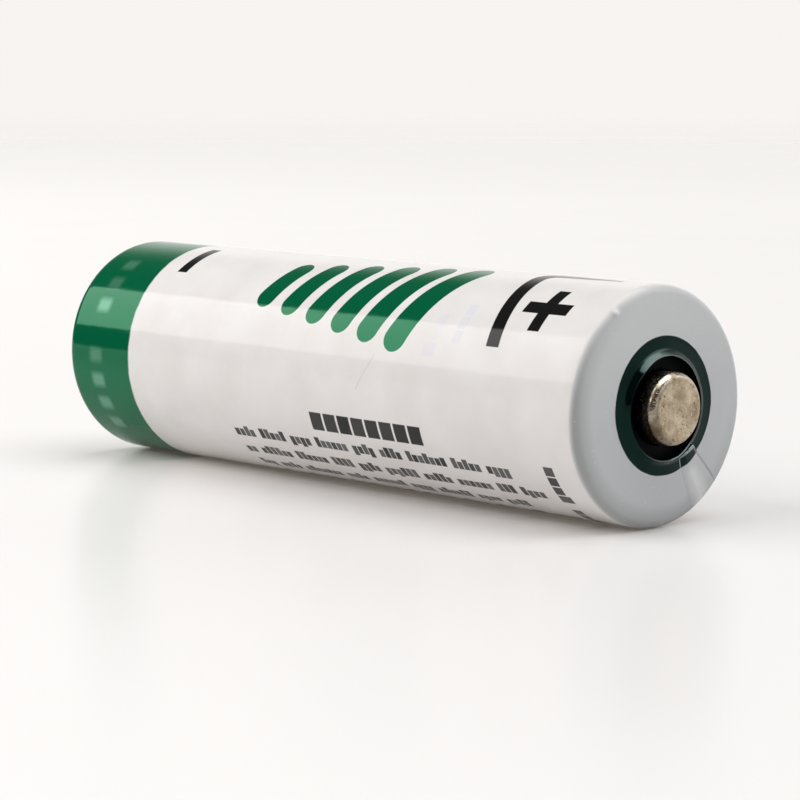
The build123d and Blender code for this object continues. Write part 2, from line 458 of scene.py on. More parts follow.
@dataclass(frozen=True)
class PrintedFilm:
    """Clear shrink film, printed white with a green band and generic marks, and unprinted at its lip.

    The print stops short of the lip round a window that lies a little off the axis. nub is the place
    of a small pale lump in y and z. cover is how much of what is under it an ink hides.
    """

    radius: float
    end_face: float
    window: float
    print_end_radius: float
    name: str = "printed_film"
    gloss: float = 1.29
    roughness: float = 0.07
    print_shift: tuple[float, float] = (0.12, 0.1)
    nub: tuple[float, float] = (-3.81, 5.87)
    nub_radius: float = 0.2
    band_end: float = 7.1
    edge: float = 0.05
    bars: int = 6
    white: Colour = tone(231, 229, 228)
    white_aged: Colour = tone(225, 222, 220)
    over_washer: Colour = tone(198, 201, 203)
    # painted_lit_washer is over_washer painted as if lit, for the upper side of the end face.
    painted_lit_washer: Colour = tone(212, 214, 215)
    # shoulder_painted_shade is painted shade on the shoulder of the end face.
    shoulder_painted_shade: Colour = tone(166, 168, 169)
    clear: Colour = tone(11, 35, 31)
    clear_depth: float = 0.8
    green_sheen: float = 0.28
    # painted_glint is a painted highlight on the margin near the window.
    painted_glint: Colour = tone(112, 134, 128)
    # painted_edge_highlight is a painted highlight along the lip's cut and the pleat's edges.
    painted_edge_highlight: Colour = tone(146, 160, 158)
    cover: dict[Ink, float] = field(
        default_factory=lambda: {Ink.PALE: 0.42, Ink.LILAC: 0.4, Ink.CREASE_SHADE: 0.28}
    )

    def heading(self, start: float, arc: float, seed: float) -> FinePrint:
        """Returns eight even blocks in place of a heading."""
        cell = 1.3
        end = start + 8 * cell
        return FinePrint(
            Ink.BLACK, Lay.ALONG, start, end, first_row=arc, rows=1, row_pitch=2.4, height=1.25,
            cell=cell, seed=seed, even=True, slot=0.07, faintest=0.95,
        )

    def small_print(self, start: float, end: float, arc: float, rows: int, seed: float) -> FinePrint:
        """Returns ragged rows of small blocks in place of text."""
        return FinePrint(
            Ink.GREY, Lay.ALONG, start, end, first_row=arc, rows=rows, row_pitch=1.6, height=0.95,
            cell=0.5, seed=seed,
        )

    def side_print(self) -> list[FinePrint]:
        """Returns the lines round the film: near the positive end, a faint stamp and the band's."""
        half_turn = math.pi * self.radius
        return [
            FinePrint(
                Ink.GREY, Lay.AROUND, 14.7, 21.9, first_row=46.0, rows=1, row_pitch=3.0, height=1.25,
                cell=0.75, seed=5.0, word=10,
            ),
            FinePrint(
                Ink.LILAC, Lay.AROUND, 4.9, 9.9, first_row=36.2, rows=2, row_pitch=1.9, height=1.2,
                cell=1.0, seed=23.0, gap_share=0.15, word=4,
            ),
            FinePrint(
                Ink.PALE, Lay.AROUND, -half_turn, half_turn, first_row=3.5, rows=1, row_pitch=9.0,
                height=1.25, cell=half_turn / 13, seed=31.0, gap_share=0.3, even=True, slot=0.24,
                faintest=0.4, blur=9.0,
            ),
        ]

    def leaning_bars(self, first_arc: float) -> list[Bar]:
        """Returns green bars side by side that lean, each shorter and thinner than the one before."""
        return [
            Bar(Ink.GREEN, 33.9 - 2.8 * step, first_arc, 8.8 - 0.85 * step, 1.95 - 0.06 * step, turn=108)
            for step in range(self.bars)
        ]

    def signs(self) -> list[Bar]:
        """Returns a plus near the positive end and a minus near the band, on the front and the back."""
        length, stroke = 3.6, 0.95
        pluses = [
            Bar(Ink.BLACK, x, arc, length, stroke, turn, round_ends=False)
            for x, arc in ((43.9, 4.7), (43.0, -12.0))
            for turn in (0, 90)
        ]
        minuses = [
            Bar(Ink.BLACK, 9.3, arc, length - 0.2, stroke, turn=90, round_ends=False)
            for arc in (2.9, -12.0)
        ]
        return pluses + minuses

    def marks(self) -> list[Mark]:
        """Returns the print's marks, in millimetres along the axis and round the film."""
        return [
            self.heading(25.3, 13.9, seed=3.0),
            self.small_print(17.0, 45.2, 15.65, rows=4, seed=11.0),
            *self.side_print(),
            self.heading(12.0, -18.3, seed=13.0),
            self.small_print(12.0, 38.0, -21.7, rows=2, seed=19.0),
            # A painted shade line where the film is creased.
            Bar(Ink.CREASE_SHADE, 30.8, 10.25, length=2.7, width=0.1, turn=121),
            Bracket(Ink.BLACK, 41.6, 1.5, bend=1.35, foot=7.8, tail=46.2, width=1.05),
            *self.leaning_bars(4.6),
            *self.leaning_bars(-11.6),
            *self.signs(),
        ]

    def turned_over(self, film: Finish, colour: Socket, radius: Value) -> Socket:
        """Adds the film on the end face: grey over the washer, with painted light upwards and painted shade
        at the shoulder.

        Args:
            film: the material.
            colour: the film's colour so far.
            radius: the distance from the axis.

        Returns:
            The colour with the end face on it.
        """
        # Painted light: the end face grows lighter towards the top, and the white reaches further over the
        # shoulder there.
        painted_top_light = ((film.z * 0.9 - film.y * 0.25) / radius).clamped()
        turned = film.x.above(painted_top_light * 0.26 + (self.end_face - 0.42), 0.3)
        facing = film.blend(painted_top_light * 0.8, self.over_washer, self.painted_lit_washer)
        colour = film.blend(turned, colour, facing)
        # Painted shade on the shoulder, strongest on its -Y and lower side.
        painted_shade_side = (0.55 - film.y / radius * 0.45 - film.z / radius * 0.7).clamped()
        colour = film.blend(radius.above(6.5, 1.3) * turned * painted_shade_side, colour, self.shoulder_painted_shade)
        specks = film.cells(1.3).below(0.055, 0.03) * film.noise(0.6, 2).above(0.5, 0.1)
        nicks = film.noise(4.5, 2, (1, 0.3, 1.7)).above(0.72, 0.03)
        colour = film.blend(specks.either(nicks) * turned * 0.4, colour, self.white)
        drop_y, drop_z = film.y - self.nub[0], film.z - self.nub[1]
        from_nub = (drop_y * drop_y + drop_z * drop_z).math("SQRT")
        return film.blend(from_nub.below(self.nub_radius, 0.16) * turned, colour, self.white)

    def printed(self, film: Finish, colour: Socket, waver: Value) -> tuple[Socket, Value]:
        """Adds the green band and the marks.

        Args:
            film: the material.
            colour: the film's colour so far.
            waver: how far the print's edges wander, in millimetres.

        Returns:
            The colour with the print on it, and the mask of the green ink.
        """
        arc = (0 - film.y).math("ARCTAN2", film.z) * self.radius
        green = (film.x + waver).below(self.band_end, self.edge * 3)
        colour = film.blend(green, colour, Ink.GREEN.value)
        for mark in self.marks():
            inside = mark.mask(film, film.x, arc, self.edge)
            if mark.ink is Ink.GREEN:
                green = green.either(inside)
            colour = film.blend(inside * self.cover.get(mark.ink, 1.0), colour, mark.ink.value)
        return colour, green

    def margin(self, film: Finish, colour: Socket, radius: Value, waver: Value) -> tuple[Socket, Value]:
        """Adds the unprinted margin at the lip: dark, with a painted glint near the window and a painted
        highlight along its cut.

        Args:
            film: the material.
            colour: the film's colour so far.
            radius: the distance from the axis.
            waver: how far the print's edges wander, in millimetres.

        Returns:
            The colour with the margin on it, and how deep the dark looks.
        """
        end = film.x.above(self.end_face - 3.0, 0.5)
        off_y, off_z = film.y - self.print_shift[0], film.z - self.print_shift[1]
        from_print = (off_y * off_y + off_z * off_z).math("SQRT")
        bare = (from_print + waver * 0.5).below(self.print_end_radius, self.edge) * end
        colour = film.blend(bare, colour, self.clear)
        # Painted highlight: a glint on the margin near the window, on its upper side.
        upper = ((film.z * 0.957 - film.y * 0.29) / radius).above(0.93, 0.13)
        painted_glint_mask = radius.below(self.window + 0.24, 0.34) * end * upper
        colour = film.blend(painted_glint_mask, colour, self.painted_glint)
        # Painted highlight along the lip's cut edge, strongest on its +Y side.
        catches = (film.y / radius + 1.0).clamped() * 0.5
        lip = radius.below(self.window + 0.015, 0.03) * end * catches
        colour = film.blend(lip, colour, self.painted_edge_highlight)
        return colour, bare * (1 - painted_glint_mask) * (1 - lip) * self.clear_depth

    def fold(self, film: Finish, colour: Socket) -> Socket:
        """Returns the colour unchanged, because flat film has no fold."""
        return colour

    def material(self) -> bpy.types.Material:
        """Returns the film's material."""
        film = Finish(self.name, IOR=self.gloss)
        radius = film.radius()
        mottle = film.noise(0.35, 4).above(0.5, 0.35)
        waver = (film.noise(1.6, 2) - 0.5) * 0.12
        colour = film.blend(mottle, self.white_aged, self.white)
        colour = self.turned_over(film, colour, radius)
        colour, green = self.printed(film, colour, waver)
        colour, deep = self.margin(film, colour, radius, waver)
        colour = self.fold(film, colour)
        scuffs = film.noise(1.4, 5, (0.25, 2.5, 2.5)).above(0.62, 0.2)
        rough = self.roughness + scuffs * 0.05 + film.noise(0.5, 2) * 0.02
        film.relief(film.noise(0.9, 3, (0.5, 1, 1)), 0.006)
        return film.dress(Base_Color=colour, Roughness=rough, Metallic=deep + green * self.green_sheen)


@dataclass(frozen=True)
class FoldedFilm(PrintedFilm):
    """The same film doubled over, with painted highlights along its left fold and cut edge and a painted
    shadow along the far fold.

    phi is the angle round the axis less that of the left fold, in degrees, and along is the distance
    from the axis along the left fold, which the cut edge of the fold crosses squarely.
    """

    name: str = "folded_film"
    left: float = -67.5
    sweep: float = 24.5
    cut: float = 3.24
    # bright is the painted highlight along the left fold, shade the painted shadow along the far fold.
    bright: Colour = tone(232, 233, 234)
    shade: Colour = tone(138, 140, 142)
    gleam_at: float = 9.5
    gleam_reach: float = 8.5
    cut_width: float = 0.2

    def fold(self, film: Finish, colour: Socket) -> Socket:
        """Returns the colour with the fold's painted light and shade."""
        cosine, sine = math.cos(math.radians(self.left)), math.sin(math.radians(self.left))
        along = film.y * cosine + film.z * sine
        across = film.z * cosine - film.y * sine
        phi = across.math("ARCTAN2", along) * math.degrees(1)
        # Painted highlight along the left fold.
        gleam = (1 - abs(phi - self.gleam_at) / self.gleam_reach).clamped() * 0.75
        colour = film.blend(gleam * along.above(4.4, 0.6), colour, self.bright)
        # Painted shadow along the far fold.
        far_fold = (1 - abs(phi - self.sweep + 1.6) / 1.5).clamped()
        colour = film.blend(far_fold * 0.8, colour, self.shade)
        # Painted highlight along the left fold and the cut edge of the pleat in the clear margin.
        bare = along.below(self.print_end_radius - 0.02, 0.05)
        near_fold = phi.below(1.5, 1.0) * bare
        cut = along.below(self.cut + self.cut_width, 0.05)
        return film.blend(near_fold.either(cut) * 0.85, colour, self.painted_edge_highlight)


# ---------------------------------------------------------------- finishes of the other pieces


@dataclass(frozen=True)
class WornNickel:
    """Nickel plate with handling wear: scratches, pits and brown grime, with painted shade at the foot.

    Beyond rim, a distance from the axis, the turned edge is rubbed bright in places, with a painted
    highlight that grows towards its top, and has painted shade on its -Y side. Below foot plus about
    half of foot_depth the side is painted black as shade.
    """

    name: str
    clean: Colour = tone(198, 184, 160)
    dull: Colour = tone(146, 129, 104)
    pit: Colour = tone(52, 42, 31)
    bare: Colour = tone(236, 226, 208)
    # painted_rim_shade is painted shade for the -Y side of the rim.
    painted_rim_shade: Colour = tone(66, 54, 38)
    roughness: float = 0.24
    pits: float = 1.0
    foot: float = -100.0
    foot_depth: float = 1.0
    # foot_shade is painted shade for the side near the foot.
    foot_shade: Colour = tone(12, 10, 8)
    rim: float = 100.0

    def material(self) -> bpy.types.Material:
        """Returns the worn nickel's material."""
        metal = Finish(self.name, Metallic=1.0)
        grime = metal.noise(0.9, 6, rough=0.7).above(0.53, 0.3)
        fine = metal.noise(4.5, 4, rough=0.65).above(0.6, 0.12)
        colour = metal.blend((grime + fine * 0.35).clamped(), self.clean, self.dull)
        scattered = metal.cells(2.2).below(0.16, 0.08) * metal.noise(0.7, 2).above(0.46, 0.1)
        colour = metal.blend(scattered * self.pits * 0.6, colour, self.pit)
        strokes = metal.noise(3.0, 4, (1, 0.22, 1.9))
        cross = metal.noise(3.2, 3, (1, 2.2, 0.3))
        marks = metal.noise(7.0, 2, (1, 0.35, 1.6)).above(0.68, 0.03)
        marks = marks.either(metal.noise(6.0, 2, (1, 1.5, 0.4)).above(0.69, 0.03))
        colour = metal.blend(marks * self.pits * 0.7, colour, self.bare)
        scores = metal.noise(6.5, 2, (1, 0.7, 1.7)).above(0.7, 0.03)
        colour = metal.blend(scores * self.pits * 0.75, colour, self.pit)
        from_axis = metal.radius()
        # Real rubbing wear at the rim, with a painted highlight that grows towards the top.
        rubbed_and_highlight = from_axis.above(self.rim, 0.16) * metal.noise(1.3, 3).above(0.45, 0.2)
        rubbed_and_highlight = rubbed_and_highlight * (metal.z / from_axis * 0.6 + 0.4).clamped()
        # Painted shade on the rim's -Y side.
        sideways = (0.15 - metal.y / from_axis).clamped()
        painted_rim_shade_mask = from_axis.above(self.rim - 0.12, 0.4) * sideways * (1 - rubbed_and_highlight)
        colour = metal.blend(painted_rim_shade_mask * 0.85, colour, self.painted_rim_shade)
        colour = metal.blend(rubbed_and_highlight * 0.6, colour, self.bare)
        # Painted shade: the side goes black from the foot up to about half of foot_depth.
        low = metal.x.below(self.foot + self.foot_depth * 0.55, self.foot_depth * 0.5)
        colour = metal.blend(low, colour, self.foot_shade)
        rough = self.roughness + grime * 0.18 + (strokes - 0.5) * 0.25 - rubbed_and_highlight * 0.1
        raised = strokes * 0.5 + cross * 0.35 + marks * 0.3
        metal.relief(raised - (scattered + scores) * self.pits * 0.6, 0.03)
        return metal.dress(Base_Color=colour, Roughness=rough)


@dataclass(frozen=True)
class DrawnSteel:
    """Plated sheet steel with rings or lines left by drawing, and faint smudges."""

    name: str
    bright: Colour = tone(205, 203, 198)
    shaded: Colour = tone(168, 165, 158)
    roughness: float = 0.24

    def material(self) -> bpy.types.Material:
        """Returns the drawn steel's material."""
        steel = Finish(self.name, Metallic=1.0)
        smudge = steel.noise(0.4, 5, rough=0.6).above(0.5, 0.4)
        rings = (steel.radius() * 38 + steel.noise(0.6, 2) * 9).math("SINE")
        lines = steel.noise(2.2, 3, (0.12, 4, 4))
        colour = steel.blend(smudge, self.bright, self.shaded)
        rough = self.roughness + smudge * 0.14 + (lines - 0.5) * 0.12
        steel.relief(rings * 0.2 + lines * 0.6, 0.004)
        return steel.dress(Base_Color=colour, Roughness=rough)


@dataclass(frozen=True)
class Polymer:
    """Moulded or punched polymer with a fine grain and uneven gloss."""

    name: str
    light: Colour
    dark: Colour
    roughness: float = 0.42
    grain: float = 5.0
    gloss: float = 1.4

    def material(self) -> bpy.types.Material:
        """Returns the polymer's material."""
        body = Finish(self.name, IOR=self.gloss)
        cloud = body.noise(0.7, 4).above(0.5, 0.4)
        colour = body.blend(cloud, self.dark, self.light)
        body.relief(body.noise(self.grain, 3), 0.0015)
        return body.dress(Base_Color=colour, Roughness=self.roughness + cloud * 0.1)


@dataclass(frozen=True)
class SealGlass:
    """Fused sealing glass, dark and blue green, with tiny bubbles."""

    name: str = "seal_glass"
    deep: Colour = tone(22, 62, 66)
    thin: Colour = tone(60, 112, 112)

    def material(self) -> bpy.types.Material:
        """Returns the glass's material."""
        glass = Finish(self.name, IOR=1.52)
        swirl = glass.noise(1.8, 4).above(0.5, 0.4)
        bubbles = glass.cells(5.0).below(0.12, 0.08)
        colour = glass.blend(swirl, self.deep, self.thin)
        glass.relief(bubbles, 0.01)
        return glass.dress(Base_Color=colour, Roughness=0.05 + bubbles * 0.2)


@dataclass(frozen=True)
class FibreSheet:
    """Non-woven sheet of glass fibre: crossing strands in off-white."""

    name: str = "glass_fibre"
    strand: Colour = tone(240, 240, 236)
    shadow: Colour = tone(196, 196, 190)

    def material(self) -> bpy.types.Material:
        """Returns the fibre sheet's material."""
        sheet = Finish(self.name, IOR=1.45)
        one_way = sheet.noise(5.0, 3, (0.15, 2, 2)).above(0.52, 0.2)
        other_way = sheet.noise(5.0, 3, (2, 0.3, 0.3)).above(0.52, 0.2)
        strands = one_way.either(other_way)
        sheet.relief(strands, 0.02)
        colour = sheet.blend(strands, self.shadow, self.strand)
        return sheet.dress(Base_Color=colour, Roughness=0.95 - strands * 0.15)


@dataclass(frozen=True)
class PressedCarbon:
    """Pressed porous carbon: dusty black with grains and open pores."""

    name: str = "porous_carbon"
    dust: Colour = tone(52, 52, 54)
    grain: Colour = tone(20, 20, 22)

    def material(self) -> bpy.types.Material:
        """Returns the carbon's material."""
        carbon = Finish(self.name, IOR=1.4)
        pores = carbon.cells(3.5).below(0.25, 0.2)
        dust = carbon.noise(2.0, 6, rough=0.7).above(0.5, 0.35)
        carbon.relief(carbon.noise(6.0, 4) - pores, 0.03)
        colour = carbon.blend(dust, self.grain, self.dust)
        return carbon.dress(Base_Color=colour, Roughness=0.9 - dust * 0.15)


@dataclass(frozen=True)
class RolledFoil:
    """Soft lithium foil: dull silver with roller lines and darker tarnish."""

    name: str = "lithium_foil"
    silver: Colour = tone(190, 191, 194)
    tarnish: Colour = tone(122, 122, 128)

    def material(self) -> bpy.types.Material:
        """Returns the foil's material."""
        foil = Finish(self.name, Metallic=1.0)
        patch = foil.noise(0.5, 5, rough=0.65).above(0.52, 0.3)
        lines = foil.noise(2.5, 3, (0.08, 3, 3))
        colour = foil.blend(patch, self.silver, self.tarnish)
        foil.relief(lines, 0.01)
        return foil.dress(Base_Color=colour, Roughness=0.4 + patch * 0.2 + (lines - 0.5) * 0.1)


@dataclass(frozen=True)
class TableTop:
    """White glossy table that fades out far from the cell, with a faint warm painted glow all over.

    It grows paler over far_soft round far_edge, and fades from fade_start to fade_end. All four are
    distances from the origin.
    """

    gloss: float = 1.12
    fade_start: float = 230.0
    fade_end: float = 800.0
    far_edge: float = 170.0
    far_soft: float = 260.0
    white: Colour = tone(228, 227, 227)
    grey: Colour = tone(226, 225, 225)
    far: Colour = tone(248, 247, 246)
    painted_glow: Colour = tone(255, 240, 224)
    painted_glow_strength: float = 0.055

    def material(self) -> bpy.types.Material:
        """Returns the table's material."""
        # Painted light: a faint warm glow over the whole table that lifts its shadows.
        painted_glow = (*self.painted_glow, 1)
        table = Finish(
            "table_top", IOR=self.gloss, Emission_Color=painted_glow, Emission_Strength=self.painted_glow_strength
        )
        away = (table.x * table.x + table.y * table.y).math("SQRT")
        cloud = table.noise(0.02, 3)
        colour = table.blend(cloud, self.grey, self.white)
        colour = table.blend(away.above(self.far_edge, self.far_soft), colour, self.far)
        near = 1 - ((away - self.fade_start) / (self.fade_end - self.fade_start)).clamped()
        return table.dress(Base_Color=colour, Roughness=0.2 + cloud * 0.06, Alpha=near)


# ---------------------------------------------------------------- meshes


def rounded_outline(corners: Sequence[Triple], arc_steps: int, spacing: float,
                    loop: bool) -> np.ndarray:
    """Returns an outline with its corners rounded.

    At each corner a circle of the given radius touches both runs: its touching points lie
    radius / tan(half the corner's angle) from the corner, and its centre lies on the bisector at
    radius / sin(half the angle). Straight runs are cut into steps of about spacing.

    Args:
        corners: x, distance from the axis and corner radius of each point, in millimetres.
        arc_steps: steps in each rounded corner.
        spacing: longest step on a straight run.
        loop: whether the outline closes on itself.

    Returns:
        Points as rows of x and distance from the axis.
    """
    places = np.array([corner[:2] for corner in corners], float)
    count = len(places)
    pieces = []
    for index, (x, r, radius) in enumerate(corners):
        here = places[index]
        ends = not loop and index in (0, count - 1)
        if ends or radius == 0:
            pieces.append(here[None])
            continue
        back = places[index - 1] - here
        ahead = places[(index + 1) % count] - here
        back, ahead = back / np.linalg.norm(back), ahead / np.linalg.norm(ahead)
        half = math.acos(float(np.clip(back @ ahead, -1, 1))) / 2
        bisector = (back + ahead) / np.linalg.norm(back + ahead)
        centre = here + bisector * radius / math.sin(half)
        start, stop = (here + side * radius / math.tan(half) - centre for side in (back, ahead))
        a0, a1 = (math.atan2(v[1], v[0]) for v in (start, stop))
        sweep = (a1 - a0 + math.pi) % (2 * math.pi) - math.pi
        angles = a0 + sweep * np.linspace(0, 1, arc_steps + 1)
        pieces.append(centre + radius * np.stack([np.cos(angles), np.sin(angles)], 1))
    if loop:
        pieces.append(pieces[0][:1])
    filled = [pieces[0]]
    for piece in pieces[1:]:
        last = filled[-1][-1]
        gap = np.linalg.norm(piece[0] - last)
        cuts = max(1, math.ceil(gap / spacing))
        share = np.linspace(0, 1, cuts + 1)[1:-1, None]
        filled.append(last + (piece[0] - last) * share)
        filled.append(piece)
    outline = np.concatenate(filled)
    return outline[:-1] if loop else outline


def thinned(outline: np.ndarray, low: float, high: float, every: int) -> np.ndarray:
    """Returns the outline with one point in every so many kept where x lies between low and high."""
    straight = (outline[:, 0] > low) & (outline[:, 0] < high)
    return outline[~straight | (np.arange(len(outline)) % every == 0)]


def put_mesh(name: str, points: np.ndarray, faces: list[np.ndarray]) -> bpy.types.Object:
    """Makes a smooth-shaded object.

    Args:
        name: the piece's name.
        points: vertices in millimetres, one a row.
        faces: arrays of vertex numbers, each with its own number of corners per face.

    Returns:
        The object, at the origin.
    """
    mesh = bpy.data.meshes.new(name)
    loops = np.concatenate([block.ravel() for block in faces]).astype(np.int32)
    sizes = np.concatenate([np.full(len(block), block.shape[1]) for block in faces])
    starts = np.concatenate([[0], np.cumsum(sizes)[:-1]]).astype(np.int32)
    mesh.vertices.add(len(points))
    mesh.vertices.foreach_set("co", (points * MM).astype(np.float32).ravel())
    mesh.loops.add(len(loops))
    mesh.loops.foreach_set("vertex_index", loops)
    mesh.polygons.add(len(sizes))
    mesh.polygons.foreach_set("loop_start", starts)
    mesh.polygons.foreach_set("use_smooth", np.ones(len(sizes), bool))
    mesh.update(calc_edges=True)
    mesh.validate()
    made = bpy.data.objects.new(name, mesh)
    bpy.context.scene.collection.objects.link(made)
    return made


def quads(rows: int, columns: int, loop: bool) -> np.ndarray:
    """Returns the faces of a grid that closes on itself across its columns, and along its rows if loop."""
    i, j = np.meshgrid(np.arange(rows if loop else rows - 1), np.arange(columns), indexing="ij")
    i, j = i.ravel(), j.ravel()
    below, beside = (i + 1) % rows, (j + 1) % columns
    return np.stack([i * columns + j, i * columns + beside, below * columns + beside, below * columns + j], 1)


def turned_mesh(name: str, outline: np.ndarray, turns: int, relief: Optional[Relief] = None,
                loop: bool = False) -> bpy.types.Object:
    """Makes a surface of revolution about the axis.

    A point is (x, r cos phi, r sin phi) for each outline point (x, r) and each of the angles phi.
    relief adds to x and r. Outline points on the axis become single poles with fans of triangles.

    Args:
        name: the piece's name.
        outline: rows of x and r. It runs towards +x on the outside.
        turns: number of angles.
        relief: takes arrays of x, r and phi, and returns what to add to x and to r.
        loop: whether the outline closes on itself, as round a ring.

    Returns:
        The object.
    """
    phi = np.arange(turns) / turns * 2 * np.pi
    ring = outline if loop else outline[1:-1]
    x, angle = np.meshgrid(ring[:, 0], phi, indexing="ij")
    r = np.repeat(ring[:, 1:2], turns, 1)
    if relief:
        dx, dr = relief(x, r, angle)
        x, r = x + dx, r + dr
    points = np.stack([x, r * np.cos(angle), r * np.sin(angle)], -1).reshape(-1, 3)
    faces = [quads(len(ring), turns, loop)]
    if not loop:
        last = (len(ring) - 1) * turns
        j = np.arange(turns)
        beside = (j + 1) % turns
        first_pole, last_pole = len(points), len(points) + 1
        ends = np.array([[points[:turns, 0].mean(), 0, 0], [points[last:, 0].mean(), 0, 0]])
        points = np.concatenate([points, ends])
        faces.append(np.stack([np.full(turns, first_pole), beside, j], 1))
        faces.append(np.stack([np.full(turns, last_pole), last + j, last + beside], 1))
    return put_mesh(name, points, faces)


def hump(value: np.ndarray, centre: float, width: float) -> np.ndarray:
    """Returns a bell curve: 1 at the centre and e to the minus half at width from it."""
    return np.exp(-0.5 * ((value - centre) / width) ** 2)


def turn_from(angle: np.ndarray, centre: float) -> np.ndarray:
    """Returns the angle from centre, in radians from -pi to pi, where centre is in degrees."""
    return (angle - math.radians(centre) + np.pi) % (2 * np.pi) - np.pi


def wear(obj: bpy.types.Object, material: bpy.types.Material) -> None:
    """Gives an object one material in every slot."""
    obj.data.materials.clear()
    obj.data.materials.append(material)
    log.info("%s wears %s", obj.name, material.name)


def place_piece(obj: bpy.types.Object, material: bpy.types.Material, slot: str, *nodes: str) -> None:
    """Dresses a new piece, rides it on the cell and lets it stand for its CAD nodes."""
    wear(obj, material)
    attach(obj, ROOT)
    if nodes:
        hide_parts(*nodes)


# ---------------------------------------------------------------- sub-assemblies


@dataclass
class ShrinkSleeve:
    """Printed film over the can, folded over both ends, with a pleat in the fold at the positive end."""

    wall: float = 0.1
    window: float = 3.15
    flare_start: float = 4.15
    flare: float = 0.25
    curl_start: float = 3.42
    curl_foot: float = 0.14
    curl_top: float = 0.42
    base_window: float = 5.2
    base_corner: float = 0.9
    shoulder: float = 0.6
    bulge: float = 0.12
    wave: float = 0.028
    lip_curl: float = 0.12
    gather: float = 0.006
    nub_height: float = 0.19
    pleat_arch: float = 0.06
    turns: int = 640
    pleat_left: float = -67.5
    pleat_right: float = -43.0
    pleat_cut: float = 3.24
    low: float = field(default_factory=lambda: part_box("shrink_sleeve")[0].x / MM)
    lip: float = field(default_factory=lambda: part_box("shrink_sleeve")[1].x / MM)
    radius: float = field(default_factory=lambda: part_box("shrink_sleeve")[1].z / MM)

    @property
    def face(self) -> float:
        """The film's end face at the positive end."""
        return self.lip - self.flare

    def outer(self) -> list[Triple]:
        """Returns the corners of the film's outside, from the negative window to the curled lip."""
        return [
            (self.low, self.base_window, 0.03),
            (self.low, self.radius, self.base_corner),
            (self.face, self.radius, self.shoulder),
            (self.face, self.flare_start, 1.2),
            (self.face + self.curl_foot, self.curl_start, 0.35),
            (self.face + self.curl_top, self.window, 0.03),
        ]

    def inner(self) -> list[Triple]:
        """Returns the corners of the film's inside, from the lip to the negative window."""
        wall = self.wall
        return [
            (self.face + self.curl_top - wall * 0.7, self.window - wall * 0.7, 0.03),
            (self.face + self.curl_foot - wall, self.curl_start - wall * 0.5, 0.4),
            (self.face - wall, self.flare_start, 1.2),
            (self.face - wall, self.radius - wall, self.shoulder - wall),
            (self.low + wall, self.radius - wall, self.base_corner - wall),
            (self.low + wall, self.base_window, 0.03),
        ]

    def relief(self, x: np.ndarray, r: np.ndarray, phi: np.ndarray) -> tuple[np.ndarray, np.ndarray]:
        """Returns the film's unevenness.

        On the side, r drops by up to 0.012 mm in slow waves along x and phi. The end face bulges: x
        falls as the square of the way out from the flare to the shoulder. It has waves of 3, 5 and 9
        to the turn that grow towards the lip, the lip curls most at the upper left, fine gathers
        ring the shoulder and one small nub stands on it.
        """
        side = hump(x, 25.0, 30.0) * (r > self.radius - 0.3)
        slow = np.sin(x * 0.55 + 2.2 * np.sin(2 * phi)) * np.sin(3 * phi + x * 0.12)
        dr = -0.006 * side * (1 + slow)
        on_end = np.clip((x - self.face + 1.2) / 1.0, 0, 1)
        out = np.clip((r - self.flare_start) / (self.radius - self.shoulder - self.flare_start), 0, 1)
        dx = self.bulge * on_end * (1 - out**2)
        inward = np.clip((self.radius - r) / (self.radius - self.window), 0, 1)
        waves = np.sin(3 * phi + 0.8) + 0.6 * np.sin(5 * phi + 2.1) + 0.35 * np.sin(9 * phi + 0.4)
        dx += self.wave * on_end * inward**1.5 * (waves + 1.95)
        near_lip = np.clip((self.flare_start - r) / (self.flare_start - self.window), 0, 1) * on_end
        dx += self.lip_curl * near_lip * hump(turn_from(phi, 125), 0, 0.5)
        dx -= self.lip_curl * near_lip * hump(turn_from(phi, 10), 0, 0.6)
        dr += 0.015 * near_lip * np.sin(2 * phi + 1.0)
        gathers = np.sin(46 * phi + 3 * np.sin(4 * phi)) * hump(r, self.radius - 0.75, 0.35)
        dx += self.gather * on_end * gathers * (0.5 + 0.5 * np.sin(2 * phi))
        nub = hump(turn_from(phi, 123) * r, 0, 0.15) * hump(r, self.radius - 0.25, 0.17) * on_end
        dx += self.nub_height * nub
        base = np.clip((self.low + 1.5 - x) / 1.0, 0, 1)
        dx += 0.012 * base * np.clip((self.radius - r) / 1.5, 0, 1) * np.sin(4 * phi + 1.1)
        return dx, dr

    def film(self) -> bpy.types.Object:
        """Returns the film, a thin closed shell of revolution."""
        outline = rounded_outline(self.outer() + self.inner(), 12, 0.22, True)
        outline = thinned(outline, 2.5, self.face - 2, 6)
        return turned_mesh("shrink_film", outline, self.turns, self.relief, True)

    def profile(self, r: np.ndarray) -> np.ndarray:
        """Returns x on the film's end face at r: round at the shoulder, flat, sloped, then curled up."""
        bend = np.clip((r - (self.radius - self.shoulder)) / self.shoulder, 0, 1)
        drop = self.shoulder * (1 - np.sqrt(1 - bend**2))
        slope = np.clip((self.flare_start - r) / (self.flare_start - self.curl_start), 0, 1)
        curl = np.clip((self.curl_start - r) / (self.curl_start - self.window), 0, 1)
        return self.face - drop + self.curl_foot * slope + (self.curl_top - self.curl_foot) * curl

